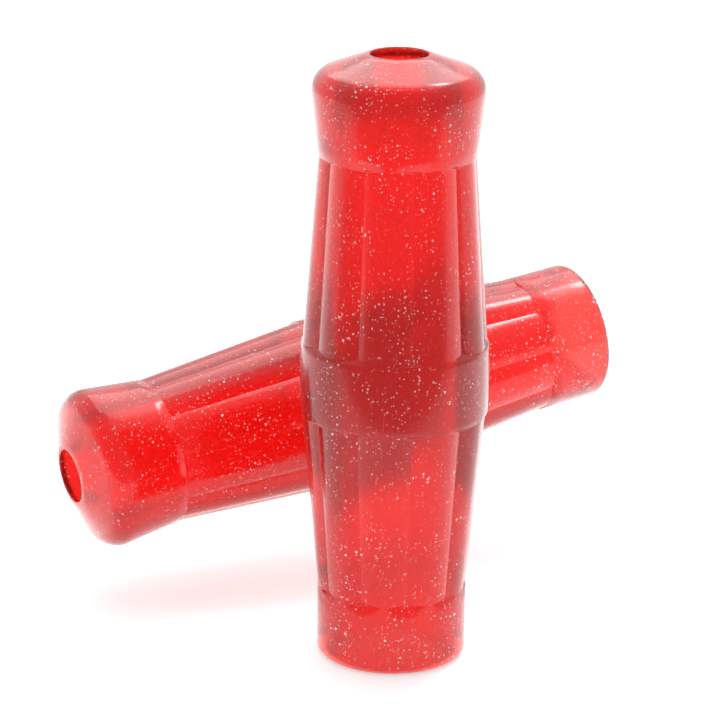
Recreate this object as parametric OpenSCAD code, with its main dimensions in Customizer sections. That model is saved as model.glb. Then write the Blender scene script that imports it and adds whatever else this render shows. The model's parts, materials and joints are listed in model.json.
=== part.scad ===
// A pair of moulded handlebar grips with fluted, barrel-shaped bodies. One stands on its open end
// and the other is held crosswise behind it. Millimetres, +Z up, with the origin at the middle of
// the standing grip's open end.

/* [Grip] */
// Length from the open end to the rim of the hole in the closed end
grip_l = 127; // [125:1:135]
// Diameter of the handlebar that a grip is pushed onto
bar_d = 22.2; // [19:0.1:24]
// How far the handlebar goes in
bore_l = 121; // [112:1:121]
// Chamfer at the bore's mouth, which starts the grip onto the bar
lead_in = 0.5; // [0.2:0.1:1]
// Diameter of the hole in the closed end
end_hole_d = 11.7; // [6:0.1:14]

/* [Bands] */
// Diameter of the plain collar at the open end
collar_d = 30.8; // [30:0.1:32]
// Height of the collar
collar_h = 14.8; // [12:0.1:17]
// Rounding of the collar's outer edge
collar_round = 1.8; // [0.5:0.1:2]
// Largest diameter of the swell, where the palm rests
swell_d = 38.6; // [38:0.1:40]
// Height of the middle of the swell band
swell_z = 60.1; // [58:0.1:62]
// Width of the swell band
swell_w = 14.4; // [10:0.1:18]
// Diameter where the cap begins
neck_d = 32.2; // [31.6:0.1:33]
// Height where the cap begins
neck_z = 106.6; // [104:0.1:108]
// Largest diameter of the cap
cap_d = 35; // [34:0.1:36]
// Rounding of the cap's shoulder
cap_round = 4.6; // [3:0.1:6]
// Slope of the domed end, in degrees
dome_slope = 20; // [10:1:25]

/* [Flutes] */
// Number of ribs round a grip
ribs = 10; // [8:2:12]
// Radius of a rib's own rounded back
rib_r = 8.6; // [7:0.1:10]
// Slope of the ramp where a flute runs out, in degrees
ramp_slope = 40; // [10:1:40]

/* [Arrangement] */
// Turn of the standing grip about its own axis
standing_turn = -96; // [-180:1:180]
// Where the middle of the second grip's open end is
crossing_at = [41.9, 87, 44.2];
// Tilt of the second grip's closed end away from straight up
crossing_tilt = 97.9; // [85:0.1:110]
// Heading of the second grip's closed end, from +X towards +Y
crossing_heading = 207.5; // [180:0.1:240]
// Turn of the second grip about its own axis
crossing_turn = 10.5; // [-180:0.5:180]

/* [Hidden] */
$fn = 96;
plastic = [0.91, 0.16, 0.14];
joint_gap = 0.05;          // a rib's back lies this far below the bands that it meets
lap = 0.6;                 // how far a rib runs into the band at each end
past = 1;                  // how far a cut runs past the face that it opens
band_core = 9;             // radius inside the bore, where a band's section closes
rib_core = 8.5;            // distance from the axis of a rib's flat inner face, inside the bore too
arc_steps = 12;
collar_r = collar_d / 2;
swell_r = swell_d / 2;
neck_r = neck_d / 2;
cap_r = cap_d / 2;
swell_low = swell_z - swell_w / 2;
swell_high = swell_z + swell_w / 2;
swell_edge_r = swell_r - 0.2;              // the band is crowned by this much
crown_r = (pow(swell_w / 2, 2) + pow(swell_r - swell_edge_r, 2)) / (2 * (swell_r - swell_edge_r));
rib_half_w = swell_r * tan(180 / ribs);    // a little more than the distance to a valley
crown_half = asin(swell_w / 2 / crown_r);
dome_edge_r = cap_r - cap_round + cap_round * sin(dome_slope);
shoulder_z = grip_l - (dome_edge_r - end_hole_d / 2) * tan(dome_slope)
             - cap_round * cos(dome_slope);

// Points on an arc about [x, z], from angle a0 to a1, measured from the outward direction
function arc(x, z, r, a0, a1) =
    [for (i = [0 : arc_steps])
        let (a = a0 + (a1 - a0) * i / arc_steps)
        [x + r * cos(a), z + r * sin(a)]];

// How far a ramp rises between the radius r and the core
function ramp_rise(r) = (r - band_core) * tan(ramp_slope);

module collar() {
    rotate_extrude()
        polygon(concat(
            [[band_core, 0]],
            arc(collar_r - collar_round, collar_round, collar_round, -90, 0),
            [[collar_r, collar_h], [band_core, collar_h + ramp_rise(collar_r)]]
        ));
}

module swell_band() {
    rise = ramp_rise(swell_edge_r);
    rotate_extrude()
        polygon(concat(
            [[band_core, swell_low - rise]],
            arc(swell_r - crown_r, swell_z, crown_r, -crown_half, crown_half),
            [[band_core, swell_high + rise]]
        ));
}

module cap() {
    rotate_extrude()
        polygon(concat(
            [[band_core, neck_z - ramp_rise(neck_r)], [neck_r, neck_z]],
            arc(cap_r - cap_round, shoulder_z, cap_round, 0, 90 - dome_slope),
            [[end_hole_d / 2 - past, grip_l + past * tan(dome_slope)],
             [end_hole_d / 2 - past, neck_z]]
        ));
}

// One rib: the outer part of a slanted round bar whose back runs from radius r0 at height z0
// to r1 at z1, cut flat inside the bore and beside the valleys
module rib(r0, z0, r1, z1) {
    lean = atan2(r1 - r0, z1 - z0);
    length = norm([r1 - r0, z1 - z0]);
    intersection() {
        translate([r0, 0, z0])
            rotate([0, lean, 0])
                translate([-rib_r, 0, -lap])
                    cylinder(h = length + 2 * lap, r = rib_r);
        translate([rib_core, -rib_half_w, z0 - rib_r])
            cube([swell_r, 2 * rib_half_w, z1 - z0 + 2 * rib_r]);
    }
}

module ribbed_length(r0, z0, r1, z1) {
    for (i = [0 : ribs - 1])
        rotate(i * 360 / ribs)
            rib(r0 - joint_gap, z0, r1 - joint_gap, z1);
}

module grip() {
    difference() {
        union() {
            collar();
            ribbed_length(collar_r, collar_h, swell_edge_r, swell_low);
            swell_band();
            ribbed_length(swell_edge_r, swell_high, neck_r, neck_z);
            cap();
        }
        translate([0, 0, -past])
            cylinder(h = bore_l + past, r = bar_d / 2);
        translate([0, 0, -past])
            cylinder(h = past + lead_in, r1 = bar_d / 2 + lead_in + past, r2 = bar_d / 2);
        translate([0, 0, bore_l - past])
            cylinder(h = grip_l, r = end_hole_d / 2);
    }
}

module left_grip() {
    color(plastic)
        rotate(standing_turn)
            grip();
}

module right_grip() {
    color(plastic)
        translate(crossing_at)
            rotate([0, crossing_tilt, crossing_heading])
                rotate(crossing_turn)
                    grip();
}

left_grip();
right_grip();
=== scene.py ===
"""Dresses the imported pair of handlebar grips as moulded, translucent glitter plastic on a pale studio floor.

The sizes below are metres. Where the grips stand, how long they are and what they fit come from the
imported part.
"""

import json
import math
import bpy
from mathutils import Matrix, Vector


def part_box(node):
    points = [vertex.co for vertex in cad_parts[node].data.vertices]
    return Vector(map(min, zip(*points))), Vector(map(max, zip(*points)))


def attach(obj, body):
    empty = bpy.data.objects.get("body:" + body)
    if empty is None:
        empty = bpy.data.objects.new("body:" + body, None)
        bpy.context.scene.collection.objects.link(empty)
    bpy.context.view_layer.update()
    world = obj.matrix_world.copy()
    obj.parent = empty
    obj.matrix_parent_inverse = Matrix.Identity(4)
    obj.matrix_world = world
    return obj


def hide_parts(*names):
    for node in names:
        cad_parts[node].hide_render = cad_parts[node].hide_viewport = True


bl_info = {
    "name": "Glitter handlebar grips",
    "version": (1, 0, 0),
    "blender": (4, 5, 0),
    "location": "3D View > Sidebar > Grips",
    "description": "Builds a pair of ribbed handlebar grips round a packed part, with a floor and lamps",
    "category": "Object",
}

import bmesh
import bpy
from mathutils import Matrix, Vector

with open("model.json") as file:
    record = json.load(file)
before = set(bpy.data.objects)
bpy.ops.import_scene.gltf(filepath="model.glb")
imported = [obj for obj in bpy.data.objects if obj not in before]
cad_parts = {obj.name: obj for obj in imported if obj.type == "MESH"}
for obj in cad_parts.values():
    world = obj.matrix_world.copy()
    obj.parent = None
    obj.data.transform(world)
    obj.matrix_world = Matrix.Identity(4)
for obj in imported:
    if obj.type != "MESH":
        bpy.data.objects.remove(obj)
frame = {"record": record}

MM = 0.001
MOUNTS = {mount["name"]: mount for mount in frame["record"]["mounts"]}

# how far each grip is turned about its own axis
STANDING_TURN = math.radians(-96)
CROSSING_TURN = math.radians(10.5)

# the far side of any real wall, where the fluted rings wait until press_flutes moves them in
OUTSIDE = 35 * MM

# a skin that bends light this little still shows the grip behind it through both walls
SKIN_IOR = 1.15
# the gloss comes from a coat over that skin
COAT_IOR = 1.45
COAT_ROUGHNESS = 0.16
# the flakes lie thicker in some places than in others, over about this distance
CROWD_SPACING = 7 * MM
# the smaller flakes, as shares of the larger ones' gap and size
FINE_GAP = 0.55
FINE_SIZE = 0.6

FLOOR_ROUGHNESS = 0.6
CAMERA_PLACE = (0, -0.6511, 0.2672)
CAMERA_LENS = 166.3
CAMERA_HEADING = math.radians(0.58)
CAMERA_DOWN = math.radians(17.45)
CAMERA_ROLL = math.radians(0.7)
# where the room changes from its dark side to its pale one, as a direction's share of +Y
DARK_EDGE, PALE_EDGE = -0.65, 0.25


def mount_radius(name):
    return MOUNTS[name]["dims"]["r_mm"] * MM


def hex_colour(code):
    """An sRGB hex value as linear red, green and blue."""
    parts = [int(code[i : i + 2], 16) / 255 for i in (1, 3, 5)]
    return tuple(c / 12.92 if c <= 0.04045 else ((c + 0.055) / 1.055) ** 2.4 for c in parts)


class GripSizes(bpy.types.PropertyGroup):
    """The moulding's own sizes, which both grips share"""

    collar_r: bpy.props.FloatProperty(
        name="Collar radius",
        description="Outside radius of the plain collar at the open end",
        default=15.4 * MM,
        unit="LENGTH",
    )
    collar_h: bpy.props.FloatProperty(
        name="Collar height",
        description="Height where the collar ends and the ribs begin",
        default=14.8 * MM,
        unit="LENGTH",
    )
    collar_round: bpy.props.FloatProperty(
        name="Collar rounding",
        description="Rounding of the collar's outer edge",
        default=1.8 * MM,
        unit="LENGTH",
    )
    swell_r: bpy.props.FloatProperty(
        name="Swell radius",
        description="Largest radius, where the palm rests",
        default=19.3 * MM,
        unit="LENGTH",
    )
    swell_z: bpy.props.FloatProperty(
        name="Swell height",
        description="Height of the middle of the swell band",
        default=60.1 * MM,
        unit="LENGTH",
    )
    swell_w: bpy.props.FloatProperty(
        name="Swell width", description="Width of the swell band", default=14.4 * MM, unit="LENGTH"
    )
    swell_crown: bpy.props.FloatProperty(
        name="Swell crown",
        description="How far the band's middle stands above its edges",
        default=0.2 * MM,
        unit="LENGTH",
    )
    neck_r: bpy.props.FloatProperty(
        name="Neck radius", description="Radius where the cap begins", default=16.1 * MM, unit="LENGTH"
    )
    neck_z: bpy.props.FloatProperty(
        name="Neck height", description="Height where the cap begins", default=106.6 * MM, unit="LENGTH"
    )
    cap_r: bpy.props.FloatProperty(
        name="Cap radius", description="Largest radius of the cap", default=17.5 * MM, unit="LENGTH"
    )
    cap_round: bpy.props.FloatProperty(
        name="Cap rounding", description="Rounding of the cap's shoulder", default=4.6 * MM, unit="LENGTH"
    )
    dome_slope: bpy.props.FloatProperty(
        name="Dome slope", description="Slope of the domed end", default=math.radians(20), unit="ROTATION"
    )
    ribs: bpy.props.IntProperty(name="Ribs", description="Number of ribs round a grip", default=10)
    rib_r: bpy.props.FloatProperty(
        name="Rib radius", description="Radius of a rib's own rounded back", default=8.6 * MM, unit="LENGTH"
    )
    rib_drop: bpy.props.FloatProperty(
        name="Rib drop",
        description="How far a rib's back lies below the bands",
        default=0.05 * MM,
        unit="LENGTH",
    )
    ramp_slope: bpy.props.FloatProperty(
        name="Ramp slope",
        description="Slope of the ramp where a flute runs out",
        default=math.radians(40),
        unit="ROTATION",
    )
    edge_round: bpy.props.FloatProperty(
        name="Edge rounding", description="Softness of the moulded edges", default=0.35 * MM, unit="LENGTH"
    )
    lead_in: bpy.props.FloatProperty(
        name="Lead-in", description="Chamfer at the bore's mouth", default=0.5 * MM, unit="LENGTH"
    )
    seam_h: bpy.props.FloatProperty(
        name="Seam height",
        description="How far the mould's parting line stands out",
        default=0.06 * MM,
        unit="LENGTH",
    )


class PlasticLook(bpy.types.PropertyGroup):
    """The glitter plastic's colours and finish"""

    red: bpy.props.FloatVectorProperty(
        name="Plastic",
        description="Colour of the clear red plastic",
        subtype="COLOR",
        default=hex_colour("#FD5A50"),
    )
    body: bpy.props.FloatVectorProperty(
        name="Body",
        description="Colour that the plastic takes on with depth",
        subtype="COLOR",
        default=hex_colour("#ED6060"),
    )
    body_density: bpy.props.FloatProperty(
        name="Body density", description="How fast the colour deepens, per metre", default=180, min=0
    )
    # the flakes' own silver, painted white in the base colour, which also serves as a painted glint
    flake: bpy.props.FloatVectorProperty(
        name="Flakes",
        description="Colour of the silver flakes seen through the plastic",
        subtype="COLOR",
        default=hex_colour("#FFFFFF"),
    )
    flake_gap: bpy.props.FloatProperty(
        name="Flake gap", description="Distance between the larger flakes", default=1.02 * MM, unit="LENGTH"
    )
    flake_size: bpy.props.FloatProperty(
        name="Flake size", description="Width of the largest flakes", default=0.44 * MM, unit="LENGTH"
    )
    clearness: bpy.props.FloatProperty(
        name="Clearness",
        description="Share of the light that goes through the plastic",
        default=0.945,
        min=0,
        max=1,
        subtype="FACTOR",
    )
    roughness: bpy.props.FloatProperty(
        name="Roughness",
        description="Roughness of the moulded skin",
        default=0.3,
        min=0,
        max=1,
        subtype="FACTOR",
    )


class StageLook(bpy.types.PropertyGroup):
    """The pale floor and the soft lamps"""

    floor: bpy.props.FloatVectorProperty(
        name="Floor", description="Colour of the floor", subtype="COLOR", default=hex_colour("#F7F7F7")
    )
    floor_glow: bpy.props.FloatProperty(
        name="Floor glow", description="Light that comes up through the floor", default=0.45, min=0
    )
    surround: bpy.props.FloatProperty(
        name="Surround", description="Brightness of the room behind and beside the grips", default=1.0, min=0
    )
    dark_side: bpy.props.FloatProperty(
        name="Dark side",
        description="Brightness of the room in front, behind the camera",
        default=0.45,
        min=0,
    )
    top_power: bpy.props.FloatProperty(
        name="Top lamp", description="Strength of the wide lamp above and behind", default=3.3, unit="POWER"
    )
    key_power: bpy.props.FloatProperty(
        name="Key lamp",
        description="Strength of the small lamp above and to the right",
        default=0.7,
        unit="POWER",
    )


# ---- shapes


def arc(centre_r, centre_z, radius, start, end, steps):
    """Points on an arc in the profile's plane, from one angle to another, measured from straight out."""
    angles = [start + (end - start) * i / steps for i in range(steps + 1)]
    return [(centre_r + radius * math.cos(a), centre_z + radius * math.sin(a)) for a in angles]


def fluted_heights(low, high):
    """Heights of the rings between two bands, close together where the flutes run out."""
    near, close_rings, far_rings = 1.4 * MM, 12, 8
    ends = [near * i / close_rings for i in range(1, close_rings + 1)]
    middle = [low + near + (high - low - 2 * near) * i / far_rings for i in range(1, far_rings)]
    return [low + e for e in ends] + middle + [high - e for e in reversed(ends)]


def outer_profile(s, length, hole_r):
    """The outside of a grip from the rounded foot to the rim of the end hole, with no flutes yet."""
    quarter = math.pi / 2
    half_w = s.swell_w / 2
    crown_r = (half_w**2 + s.swell_crown**2) / (2 * s.swell_crown)
    crown_half = math.asin(half_w / crown_r)
    edge = s.cap_r - s.cap_round * (1 - math.sin(s.dome_slope))
    shoulder_z = length - (edge - hole_r) * math.tan(s.dome_slope) - s.cap_round * math.cos(s.dome_slope)
    points = arc(s.collar_r - s.collar_round, s.collar_round, s.collar_round, -quarter, 0, 8)
    points += [(s.collar_r, s.collar_round + (s.collar_h - s.collar_round) * i / 4) for i in range(1, 5)]
    points += [(OUTSIDE, z) for z in fluted_heights(s.collar_h, s.swell_z - half_w)]
    points += arc(s.swell_r - crown_r, s.swell_z, crown_r, -crown_half, crown_half, 14)
    points += [(OUTSIDE, z) for z in fluted_heights(s.swell_z + half_w, s.neck_z)]
    points += [
        (s.neck_r + (s.cap_r - s.neck_r) * i / 6, s.neck_z + (shoulder_z - s.neck_z) * i / 6)
        for i in range(6)
    ]
    points += arc(s.cap_r - s.cap_round, shoulder_z, s.cap_round, 0, quarter - s.dome_slope, 16)
    rim_r = hole_r + s.edge_round
    for i in range(1, 7):
        r = edge + (rim_r - edge) * i / 6
        points.append((r, length - (r - hole_r) * math.tan(s.dome_slope)))
    return points


def inner_profile(s, length, hole_r, bore_r, floor_z):
    """The end hole, the bore's floor and wall and the mouth, from the rim back down to the foot."""
    soft = s.edge_round
    rim_z = length - soft * math.tan(s.dome_slope) - soft
    points = arc(hole_r + soft, rim_z, soft, math.radians(112), math.pi, 4)[1:]
    points += [(hole_r, rim_z + (floor_z - rim_z) * i / 3) for i in range(1, 4)]
    points += [(hole_r + (bore_r - hole_r) * i / 3, floor_z) for i in range(1, 4)]
    points += [(bore_r, floor_z * (1 - i / 12)) for i in range(1, 12)]
    points += [(bore_r, s.lead_in), (bore_r + s.lead_in, 0)]
    return points


def higher_of(a, b, soft):
    """The larger of two radii, rounded over a small distance where they cross."""
    return (a + b + math.sqrt((a - b) ** 2 + soft**2)) / 2


def rib_back(s, crest, turn):
    """Radius of the ribs' rounded backs at a turn round the grip, for crests at the given radius."""
    pitch = 2 * math.pi / s.ribs
    off = (turn + pitch / 2) % pitch - pitch / 2
    seat = crest - s.rib_r
    return seat * math.cos(off) + math.sqrt(s.rib_r**2 - (seat * math.sin(off)) ** 2)


def press_flutes(bm, s):
    """Moves the outside rings between the bands onto the ribs, with a ramp at each end of a flute."""
    edge_r = s.swell_r - s.swell_crown
    low, high = s.swell_z - s.swell_w / 2, s.swell_z + s.swell_w / 2
    lengths = [(s.collar_h, low, s.collar_r, edge_r), (high, s.neck_z, edge_r, s.neck_r)]
    slack = 0.01 * MM
    for v in bm.verts:
        reach = math.hypot(v.co.x, v.co.y)
        for z0, z1, r0, r1 in lengths:
            if z0 + slack < v.co.z < z1 - slack and reach > s.cap_r:
                turn = math.atan2(v.co.y, v.co.x)
                crest = r0 + (r1 - r0) * (v.co.z - z0) / (z1 - z0) - s.rib_drop
                ramp = max(
                    r0 - (v.co.z - z0) / math.tan(s.ramp_slope),
                    r1 - (z1 - v.co.z) / math.tan(s.ramp_slope),
                )
                r = higher_of(rib_back(s, crest, turn), ramp, s.edge_round / 3)
                v.co.x, v.co.y = r * math.cos(turn), r * math.sin(turn)


def raise_seam(bm, s, bore_r):
    """Raises the mould's two thin parting lines along the outside."""
    half = 0.14 * MM
    for v in bm.verts:
        reach = math.hypot(v.co.x, v.co.y)
        if reach > bore_r + 1 * MM and v.co.z > s.collar_round:
            off = abs(v.co.y)
            lift = s.seam_h * math.exp(-((off / half) ** 2))
            v.co.x += math.copysign(lift, v.co.x) if abs(v.co.x) > bore_r else 0


def lathe(bm, profile, s):
    """Spins the closed profile round Z, in fine steps at the parting lines and the flutes' bottoms."""
    radians = math.radians
    half = math.pi / s.ribs
    crest, seam = [(half - radians(4.2), 5)], [(radians(1.4), 7), (half - radians(5.6), 4)]
    valley = [(radians(2.7), 3), (radians(1.5), 4)]
    verts = [bm.verts.new((r, 0, z)) for r, z in profile]
    geom = verts + [bm.edges.new((a, b)) for a, b in zip(verts, verts[1:] + verts[:1])]
    for rib in range(s.ribs):
        after = (rib + 1) % (s.ribs // 2) == 0
        before = rib % (s.ribs // 2) == 0
        steps = (seam if before else crest) + valley
        steps += [*reversed(valley), *reversed(seam if after else crest)]
        for angle, count in steps:
            spun = bmesh.ops.spin(bm, geom=geom, cent=(0, 0, 0), axis=(0, 0, 1), angle=angle, steps=count)
            geom = spun["geom_last"]
    bmesh.ops.remove_doubles(bm, verts=bm.verts, dist=0.004 * MM)


def sharpen_valleys(bm, s):
    """Marks the bottoms of the flutes as creases, but not across the swell band."""
    pitch = 2 * math.pi / s.ribs
    slack = math.radians(0.02)
    for e in bm.edges:
        a, b = (v.co for v in e.verts)
        in_flute = s.collar_h < min(a.z, b.z) and max(a.z, b.z) < s.neck_z
        off_a = abs(math.atan2(a.y, a.x) % pitch - pitch / 2)
        off_b = abs(math.atan2(b.y, b.x) % pitch - pitch / 2)
        if in_flute and max(off_a, off_b) < slack and a.z != b.z:
            e.smooth = max(abs(a.z - s.swell_z), abs(b.z - s.swell_z)) < s.swell_w / 2


def placed(bar_mount, turn, lead_in):
    """The move from a grip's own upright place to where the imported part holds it."""
    into = -Vector(MOUNTS[bar_mount]["axis"])
    heading = math.atan2(into.y, into.x) if into.xy.length > 1e-6 else 0
    tilt = math.acos(max(-1, min(1, into.z)))
    turned = Matrix.Rotation(heading, 4, "Z") @ Matrix.Rotation(tilt, 4, "Y") @ Matrix.Rotation(turn, 4, "Z")
    return Matrix.Translation(Vector(MOUNTS[bar_mount]["pos_m"]) - lead_in * into) @ turned


def make_grip(name, node, bar_mount, hole_mount, turn):
    """One moulded grip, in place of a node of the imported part."""
    s = bpy.context.scene.grip_sizes
    low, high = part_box("left_grip")
    length = high[2] - low[2]
    bore_r, hole_r = mount_radius(bar_mount), mount_radius(hole_mount)
    floor_z = s.lead_in + MOUNTS[bar_mount]["dims"]["length_mm"] * MM
    bm = bmesh.new()
    profile = outer_profile(s, length, hole_r) + inner_profile(s, length, hole_r, bore_r, floor_z)
    lathe(bm, profile, s)
    press_flutes(bm, s)
    raise_seam(bm, s, bore_r)
    bmesh.ops.recalc_face_normals(bm, faces=bm.faces)
    for face in bm.faces:
        face.smooth = True
    sharpen_valleys(bm, s)
    bmesh.ops.transform(bm, matrix=placed(bar_mount, turn, s.lead_in), verts=bm.verts)
    mesh = bpy.data.meshes.new(name)
    bm.to_mesh(mesh)
    bm.free()
    grip = bpy.data.objects.new(name, mesh)
    bpy.context.scene.collection.objects.link(grip)
    mesh.materials.append(glitter_plastic())
    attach(grip, node)
    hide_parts(node)
    return grip


# ---- materials


def add_node(tree, kind, settings=None, inputs=None):
    """Adds a node, sets its options and sockets, and links a socket whose value is a node's output."""
    node = tree.nodes.new(kind)
    for name, value in (settings or {}).items():
        setattr(node, name, value)
    for name, value in (inputs or {}).items():
        if isinstance(value, bpy.types.NodeSocket):
            tree.links.new(value, node.inputs[name])
        else:
            node.inputs[name].default_value = value
    return node


def flakes(tree, where, crowding, gap, size):
    """How bright a flake is at each point: one to a cell, with its size and brightness left to chance. A flake
    is partly its own silver and partly a painted glint: its random brightness is fixed in the colour and
    stands for the sparkle it would catch from the lamps.

    They are drawn a little coarser than real glitter, which would be too fine to show.
    """
    cells = add_node(
        tree,
        "ShaderNodeTexVoronoi",
        {"voronoi_dimensions": "3D", "feature": "F1", "distance": "CHEBYCHEV"},
        {"Vector": where, "Scale": 1 / gap},
    )
    chance = add_node(tree, "ShaderNodeSeparateColor", None, {"Color": cells.outputs["Color"]})
    reach = add_node(
        tree,
        "ShaderNodeMapRange",
        None,
        {"Value": chance.outputs["Green"], "To Min": 0.2 * size / gap, "To Max": 0.5 * size / gap},
    )
    near = add_node(
        tree,
        "ShaderNodeMath",
        {"operation": "LESS_THAN"},
        {0: cells.outputs["Distance"], 1: reach.outputs["Result"]},
    )
    # a random brightness per flake, painted into the colour as a glint that does not follow the lamps
    painted_glint = add_node(
        tree, "ShaderNodeMapRange", None, {"Value": chance.outputs["Red"], "From Min": 0.25, "From Max": 0.85}
    )
    lit = add_node(
        tree, "ShaderNodeMath", {"operation": "MULTIPLY"}, {0: near.outputs[0], 1: painted_glint.outputs["Result"]}
    )
    shown = add_node(tree, "ShaderNodeMath", {"operation": "MULTIPLY"}, {0: lit.outputs[0], 1: crowding})
    return shown.outputs[0]


def glitter_plastic():
    """Soft PVC, injection moulded, clear red with silver flakes.

    It gives the eye a smooth skin with soft highlights, red that deepens with thickness, and bright specks:
    silver flakes whose brightness is partly their own and partly a painted glint.
    """
    made = bpy.data.materials.get("moulded glitter PVC")
    if made:
        return made
    look = bpy.context.scene.plastic_look
    material = bpy.data.materials.new("moulded glitter PVC")
    material.use_nodes = True
    tree = material.node_tree
    tree.nodes.clear()
    where = add_node(tree, "ShaderNodeTexCoord").outputs["Object"]
    drift = add_node(
        tree, "ShaderNodeTexNoise", None, {"Vector": where, "Scale": 1 / CROWD_SPACING, "Detail": 1}
    )
    crowding = add_node(
        tree,
        "ShaderNodeMapRange",
        None,
        {"Value": drift.outputs["Fac"], "From Min": 0.35, "From Max": 0.65, "To Min": 0.25, "To Max": 1},
    )
    crowd = crowding.outputs["Result"]
    coarse = flakes(tree, where, crowd, look.flake_gap, look.flake_size)
    fine = flakes(tree, where, crowd, look.flake_gap * FINE_GAP, look.flake_size * FINE_SIZE)
    flake = add_node(tree, "ShaderNodeMath", {"operation": "MAXIMUM"}, {0: coarse, 1: fine})
    # the flakes go into the base colour: their own silver with a painted glint on top
    colour = add_node(
        tree,
        "ShaderNodeMix",
        {"data_type": "RGBA"},
        {"Factor": flake.outputs[0], 6: (*look.red, 1), 7: (*look.flake, 1)},
    )
    clear = add_node(
        tree,
        "ShaderNodeMapRange",
        None,
        {"Value": flake.outputs[0], "To Min": look.clearness, "To Max": 0},
    )
    skin = add_node(
        tree,
        "ShaderNodeBsdfPrincipled",
        None,
        {
            "Base Color": colour.outputs[2],
            "Roughness": look.roughness,
            "IOR": SKIN_IOR,
            "Transmission Weight": clear.outputs["Result"],
            "Coat Weight": 1,
            "Coat Roughness": COAT_ROUGHNESS,
            "Coat IOR": COAT_IOR,
        },
    )
    body = add_node(
        tree, "ShaderNodeVolumeAbsorption", None, {"Color": (*look.body, 1), "Density": look.body_density}
    )
    out = add_node(tree, "ShaderNodeOutputMaterial")
    tree.links.new(skin.outputs["BSDF"], out.inputs["Surface"])
    tree.links.new(body.outputs["Volume"], out.inputs["Volume"])
    return material


def floor_paper(look):
    """Matt white paper on a lit table, so that it glows a little and shadows on it stay pale."""
    material = bpy.data.materials.new("lit studio paper")
    material.use_nodes = True
    skin = material.node_tree.nodes["Principled BSDF"]
    skin.inputs["Base Color"].default_value = (*look.floor, 1)
    skin.inputs["Roughness"].default_value = FLOOR_ROUGHNESS
    skin.inputs["Emission Color"].default_value = (1, 1, 1, 1)
    skin.inputs["Emission Strength"].default_value = look.floor_glow
    return material


# ---- stage


def soft_lamp(name, place, aim, size, power):
    """A rectangular lamp aimed at a point."""
    data = bpy.data.lights.new(name, "AREA")
    data.shape = "RECTANGLE"
    data.size, data.size_y = size
    data.energy = power
    lamp = bpy.data.objects.new(name, data)
    lamp.location = place
    lamp.rotation_euler = (Vector(aim) - Vector(place)).to_track_quat("-Z", "Y").to_euler()
    bpy.context.scene.collection.objects.link(lamp)
    return lamp


def make_floor(look):
    bm = bmesh.new()
    bmesh.ops.create_grid(bm, x_segments=1, y_segments=1, size=0.5)
    bmesh.ops.scale(bm, vec=(1.6, 1.5, 1), verts=bm.verts)
    bmesh.ops.translate(bm, vec=(0, 0.62, 0), verts=bm.verts)
    mesh = bpy.data.meshes.new("floor")
    bm.to_mesh(mesh)
    bm.free()
    mesh.materials.append(floor_paper(look))
    floor = bpy.data.objects.new("floor", mesh)
    bpy.context.scene.collection.objects.link(floor)


def make_camera():
    data = bpy.data.cameras.new("camera")
    data.sensor_width = 36
    data.lens = CAMERA_LENS
    data.clip_start, data.clip_end = 0.01, 20
    camera = bpy.data.objects.new("camera", data)
    turned = (
        Matrix.Rotation(CAMERA_HEADING, 4, "Z")
        @ Matrix.Rotation(math.pi / 2 - CAMERA_DOWN, 4, "X")
        @ Matrix.Rotation(CAMERA_ROLL, 4, "Z")
    )
    camera.matrix_world = Matrix.Translation(CAMERA_PLACE) @ turned
    bpy.context.scene.collection.objects.link(camera)
    bpy.context.scene.camera = camera


def make_surround(look):
    """A plain white room, pale behind and beside the grips and darker in front of them."""
    world = bpy.data.worlds.new("studio")
    bpy.context.scene.world = world
    world.use_nodes = True
    tree = world.node_tree
    where = add_node(tree, "ShaderNodeTexCoord").outputs["Generated"]
    depth = add_node(tree, "ShaderNodeSeparateXYZ", None, {"Vector": where}).outputs["Y"]
    glow = add_node(
        tree,
        "ShaderNodeMapRange",
        {"interpolation_type": "SMOOTHSTEP"},
        {
            "Value": depth,
            "From Min": DARK_EDGE,
            "From Max": PALE_EDGE,
            "To Min": look.dark_side,
            "To Max": look.surround,
        },
    )
    back = tree.nodes["Background"]
    back.inputs["Color"].default_value = (1, 1, 1, 1)
    tree.links.new(glow.outputs["Result"], back.inputs["Strength"])


# ---- operators and panel


class GRIPS_OT_standing(bpy.types.Operator):
    """Make the grip that stands on its open end"""

    bl_idname = "grips.standing"
    bl_label = "Standing grip"

    def execute(self, context):
        make_grip("standing_grip", "left_grip", "left_bar", "left_end_hole", STANDING_TURN)
        return {"FINISHED"}


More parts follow.
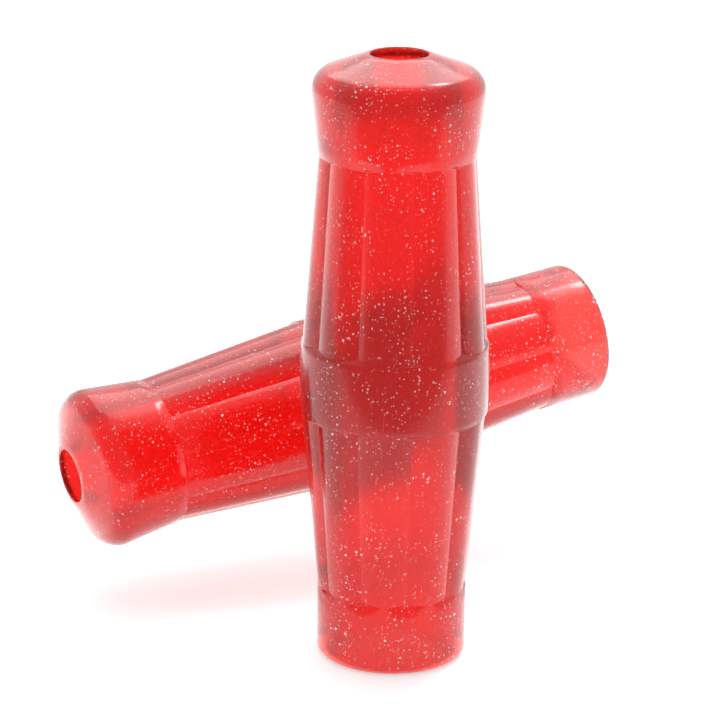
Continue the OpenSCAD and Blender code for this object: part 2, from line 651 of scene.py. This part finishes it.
class GRIPS_OT_crossing(bpy.types.Operator):
    """Make the grip that is crosswise behind"""

    bl_idname = "grips.crossing"
    bl_label = "Crossing grip"

    def execute(self, context):
        make_grip("crossing_grip", "right_grip", "right_bar", "right_end_hole", CROSSING_TURN)
        return {"FINISHED"}


class GRIPS_OT_stage(bpy.types.Operator):
    """Make the floor, the lamps and the camera"""

    bl_idname = "grips.stage"
    bl_label = "Stage"

    def execute(self, context):
        look = context.scene.stage_look
        make_floor(look)
        make_surround(look)
        make_camera()
        soft_lamp("top_lamp", (0, 0.45, 0.7), (0, 0.1, 0), (0.8, 0.7), look.top_power)
        soft_lamp("key_lamp", (0.24, 0.33, 0.7), (0, 0.05, 0.06), (0.12, 0.12), look.key_power)
        context.scene.view_settings.view_transform = "Standard"
        return {"FINISHED"}


class GRIPS_PT_panel(bpy.types.Panel):
    """Lists the pieces and the stage"""

    bl_label = "Grips"
    bl_idname = "GRIPS_PT_panel"
    bl_space_type = "VIEW_3D"
    bl_region_type = "UI"
    bl_category = "Grips"

    def draw(self, context):
        for operator in (GRIPS_OT_standing, GRIPS_OT_crossing, GRIPS_OT_stage):
            self.layout.operator(operator.bl_idname)


CLASSES = (
    GripSizes,
    PlasticLook,
    StageLook,
    GRIPS_OT_standing,
    GRIPS_OT_crossing,
    GRIPS_OT_stage,
    GRIPS_PT_panel,
)


def register():
    for cls in CLASSES:
        bpy.utils.register_class(cls)
    bpy.types.Scene.grip_sizes = bpy.props.PointerProperty(type=GripSizes)
    bpy.types.Scene.plastic_look = bpy.props.PointerProperty(type=PlasticLook)
    bpy.types.Scene.stage_look = bpy.props.PointerProperty(type=StageLook)


def unregister():
    del bpy.types.Scene.stage_look
    del bpy.types.Scene.plastic_look
    del bpy.types.Scene.grip_sizes
    for cls in reversed(CLASSES):
        bpy.utils.unregister_class(cls)


def main():
    register()
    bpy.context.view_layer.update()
    bpy.ops.grips.standing()
    bpy.ops.grips.crossing()
    bpy.ops.grips.stage()


if __name__ == "__main__":
    main()
